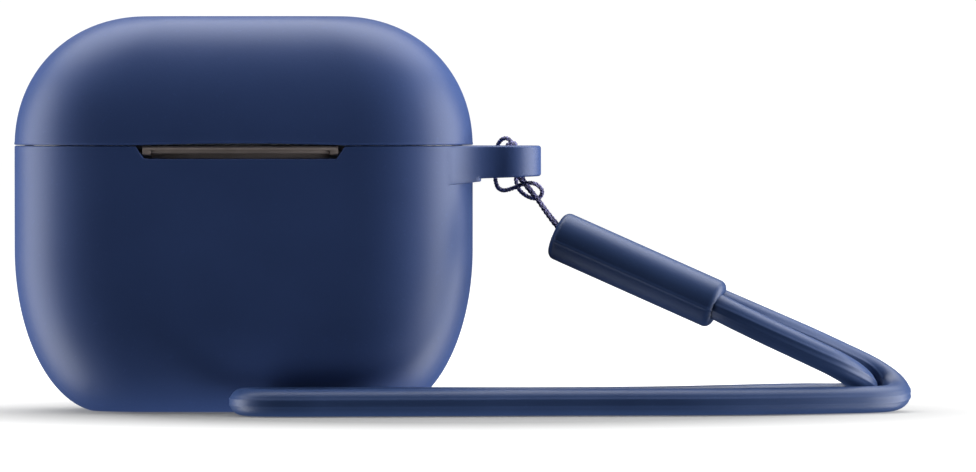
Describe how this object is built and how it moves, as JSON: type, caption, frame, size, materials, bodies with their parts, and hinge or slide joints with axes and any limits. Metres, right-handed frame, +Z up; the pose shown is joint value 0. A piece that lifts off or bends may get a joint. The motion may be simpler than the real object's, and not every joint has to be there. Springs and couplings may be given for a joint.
{
  "type": "wireless earbuds case",
  "caption": "Pocket charging case for stem earbuds in a two-piece silicone sleeve, with a side ring, a hitch cord, a grip and a looped silicone wrist strap lying on the surface.",
  "frame": {"origin": "centre of the sleeve's flat foot, on the surface it stands on", "axes": "+Z up, +X towards the strap ring, -Y towards the hinge side"},
  "size_m": [0.1113, 0.032, 0.049],
  "materials": {
    "sleeve_silicone": "soft matte navy silicone",
    "strap_silicone": "satin navy silicone",
    "hitch_cord": "braided navy cord",
    "case_plastic": "polished white",
    "liner_plastic": "fine satin white",
    "hinge_steel": "dull bead-blasted steel",
    "pin_steel": "ground steel",
    "cell_wrap": "battery wrap",
    "board_laminate": "solder mask",
    "port_steel": "plated shell",
    "coil_copper": "enamelled winding",
    "ferrite": "dark sheet",
    "light_pipe": "clear",
    "magnet": "plated",
    "contact_gold": "gold plate",
    "grille_mesh": "fine black mesh",
    "driver_can": "moulded",
    "bud_cell": "bare can",
    "cap_steel": "polished ring",
    "sensor_window": "dark window"
  },
  "bodies": {
    "sleeve": {"sleeve_base": "sleeve_silicone", "hitch_cord": "hitch_cord", "strap_grip": "strap_silicone", "wrist_strap": "strap_silicone"},
    "case": {"case_shell": "case_plastic", "earbud_tray": "liner_plastic", "hinge_body_leaf": "hinge_steel", "hinge_pin": "pin_steel", "battery_pack": "cell_wrap", "main_board": "board_laminate", "charge_port": "port_steel", "charge_coil": "coil_copper", "ferrite_sheet": "ferrite", "status_light": "light_pipe", "button_switch": "driver_can", "tray_magnets": "magnet", "contact_boards": "board_laminate", "charge_contacts": "contact_gold", "left_head": "case_plastic", "left_stem": "case_plastic", "left_driver": "driver_can", "left_grille": "grille_mesh", "left_cell": "bud_cell", "left_contact_cap": "cap_steel", "left_sensor_window": "sensor_window", "right_head": "case_plastic", "right_stem": "case_plastic", "right_driver": "driver_can", "right_grille": "grille_mesh", "right_cell": "bud_cell", "right_contact_cap": "cap_steel", "right_sensor_window": "sensor_window"},
    "lid": {"lid_shell": "case_plastic", "lid_liner": "liner_plastic", "hinge_lid_leaf": "hinge_steel", "lid_magnets": "magnet"},
    "lid_sleeve": {"sleeve_lid": "sleeve_silicone"},
    "button": {"setup_button": "case_plastic"}
  },
  "joints": [
    {"name": "case_lift", "type": "slide", "parent": "sleeve", "child": "case", "axis": [0, 0, 1], "range_m": [0, 0.035]},
    {"name": "lid_hinge", "type": "hinge", "parent": "case", "child": "lid", "pos_m": [0, -0.01145, 0.0324], "axis": [1, 0, 0], "range_deg": [0, 100]},
    {"name": "lid_sleeve_lift", "type": "slide", "parent": "lid", "child": "lid_sleeve", "axis": [0, 0, 1], "range_m": [0, 0.018]},
    {"name": "setup_button_press", "type": "slide", "parent": "case", "child": "button", "axis": [0, 1, 0], "range_m": [0, 0.0003], "stiffness_N_per_m": 1500, "springref_m": -0.0002}
  ]
}
